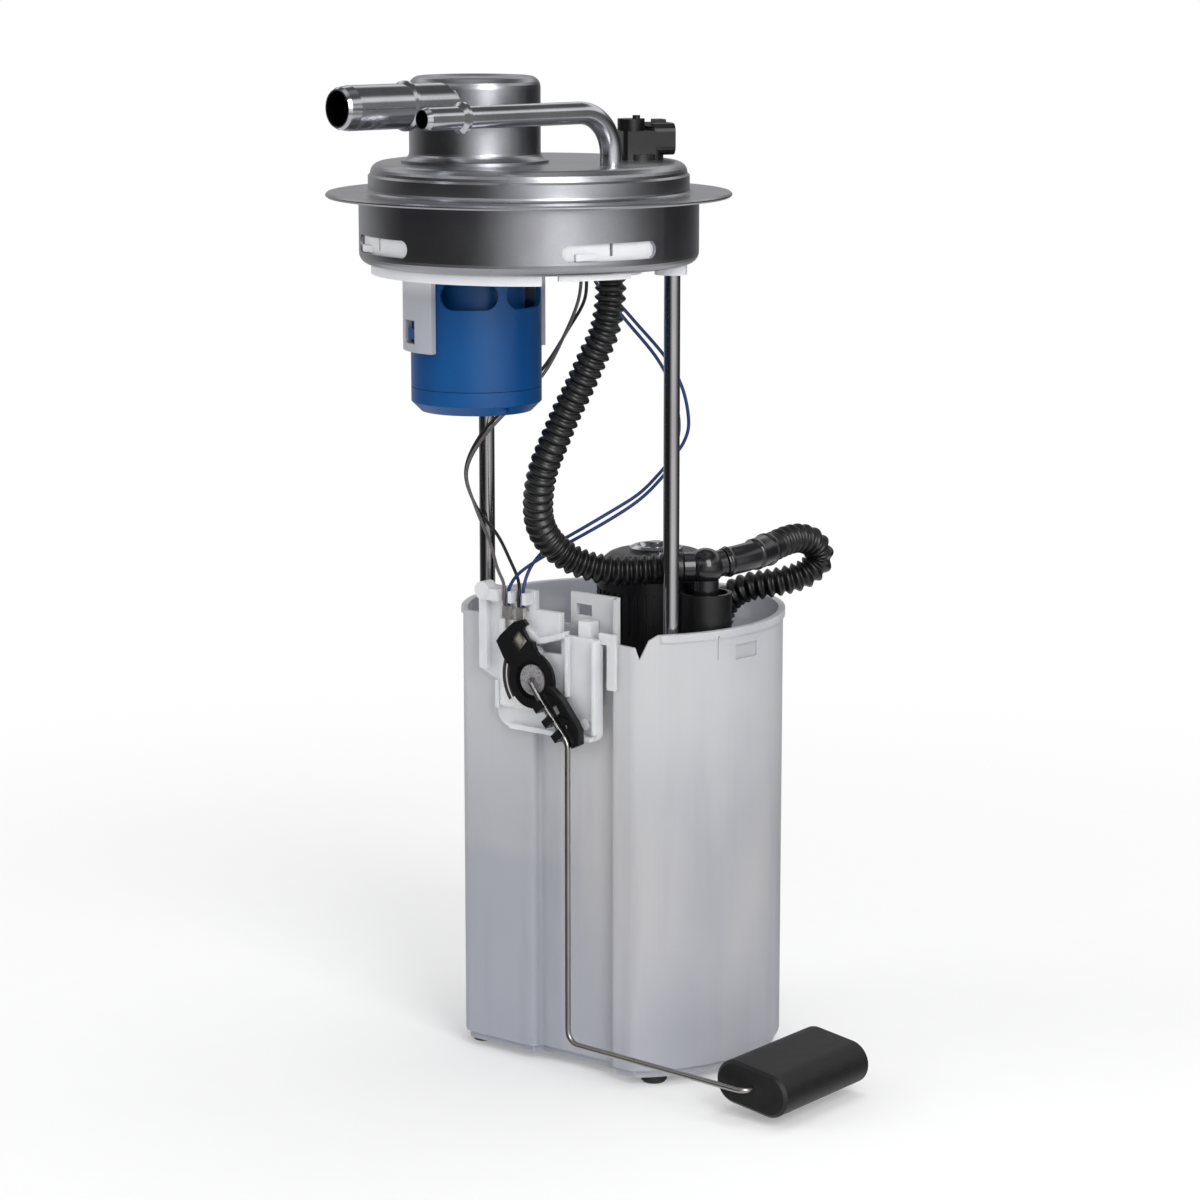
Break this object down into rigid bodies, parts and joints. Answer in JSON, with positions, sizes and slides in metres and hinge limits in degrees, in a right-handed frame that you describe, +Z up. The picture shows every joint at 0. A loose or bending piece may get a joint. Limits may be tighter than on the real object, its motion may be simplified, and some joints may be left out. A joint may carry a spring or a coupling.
{
  "type": "in-tank fuel pump module",
  "caption": "Steel tank cover with beaded ports and a plug socket, on two rods that carry a milky reservoir with pump, corrugated hoses and a swinging level float.",
  "frame": {"origin": "centre of the mounting flange's underside, the face that seats on the tank", "axes": "+Z up out of the tank through the ports; the reservoir's flat side and the level sender face -Y; the float lies towards +X"},
  "size_m": [0.1891, 0.2034, 0.3767],
  "materials": {
    "stamped_steel": "satin",
    "tube_steel": "satin",
    "polished_steel": "polished",
    "spring_steel": "satin",
    "black_plastic": "satin",
    "white_plastic": "satin",
    "blue_plastic": "satin",
    "milky_plastic": "satin",
    "black_rubber": "matte",
    "black_hose": "gloss",
    "blue_insulation": "satin",
    "black_insulation": "satin",
    "grey_insulation": "satin",
    "tinned_copper": "satin",
    "copper_winding": "lacquered",
    "ceramic": "matte",
    "track_ink": "matte",
    "washer_grey": "matte",
    "contact_bronze": "satin",
    "black_foam": "matte"
  },
  "bodies": {
    "cover": {"mounting_flange": "stamped_steel", "skirt": "stamped_steel", "vapor_can": "stamped_steel", "vapor_tube": "tube_steel", "feed_tube": "tube_steel", "connector_body": "black_plastic", "connector_pins": "tinned_copper", "inner_plate": "white_plastic", "valve_housing": "blue_plastic", "valve_base": "blue_plastic", "valve_seal": "black_rubber", "valve_spring": "spring_steel", "strut_rod_left": "polished_steel", "strut_rod_right": "polished_steel", "strut_clips": "spring_steel", "strut_spring_left": "spring_steel", "strut_spring_right": "spring_steel", "feed_hose": "black_hose", "blue_wire_front": "blue_insulation", "blue_wire_rear": "blue_insulation", "black_wire": "black_insulation", "grey_wire": "grey_insulation"},
    "valve_float": {"valve_float": "white_plastic"},
    "reservoir": {"reservoir": "milky_plastic", "pump_housing": "black_plastic", "housing_lid": "black_plastic", "pressure_regulator": "tube_steel", "outlet_tee": "black_plastic", "hose_cuff": "black_rubber", "loop_hose": "black_hose", "jet_pump": "black_plastic", "pump_shell": "tube_steel", "inlet_strainer": "white_plastic", "rubber_feet": "black_rubber", "sender_bracket": "white_plastic", "sensor_card": "ceramic", "resistor_tracks": "track_ink", "card_terminals": "tinned_copper"},
    "pump_rotor": {"pump_rotor": "copper_winding"},
    "float_arm": {"sender_rotor": "black_plastic", "pivot_washer": "washer_grey", "wiper_contact": "contact_bronze", "float_arm": "polished_steel"},
    "float": {"float": "black_foam"}
  },
  "joints": [
    {"name": "reservoir_slide", "type": "slide", "parent": "cover", "child": "reservoir", "axis": [0, 0, 1], "range_m": [0, 0.045], "stiffness_N_per_m": 250, "springref_m": -0.06, "deforming": ["strut_spring_left", "strut_spring_right", "feed_hose", "blue_wire_front", "blue_wire_rear", "black_wire", "grey_wire"]},
    {"name": "valve_float_lift", "type": "slide", "parent": "cover", "child": "valve_float", "axis": [0, 0, 1], "range_m": [0, 0.005], "deforming": ["valve_spring"]},
    {"name": "pump_rotor_spin", "type": "hinge", "parent": "reservoir", "child": "pump_rotor", "pos_m": [0.015, 0.057, -0.213], "axis": [0, 0, 1], "continuous": true},
    {"name": "float_arm_hinge", "type": "hinge", "parent": "reservoir", "child": "float_arm", "pos_m": [-0.0023, 0.0016, -0.181], "axis": [0, -1, 0], "range_deg": [0, 84]},
    {"name": "float_swivel", "type": "hinge", "parent": "float_arm", "child": "float", "pos_m": [0.0992, 0.005, -0.3205], "axis": [0, 1, 0], "continuous": true}
  ]
}
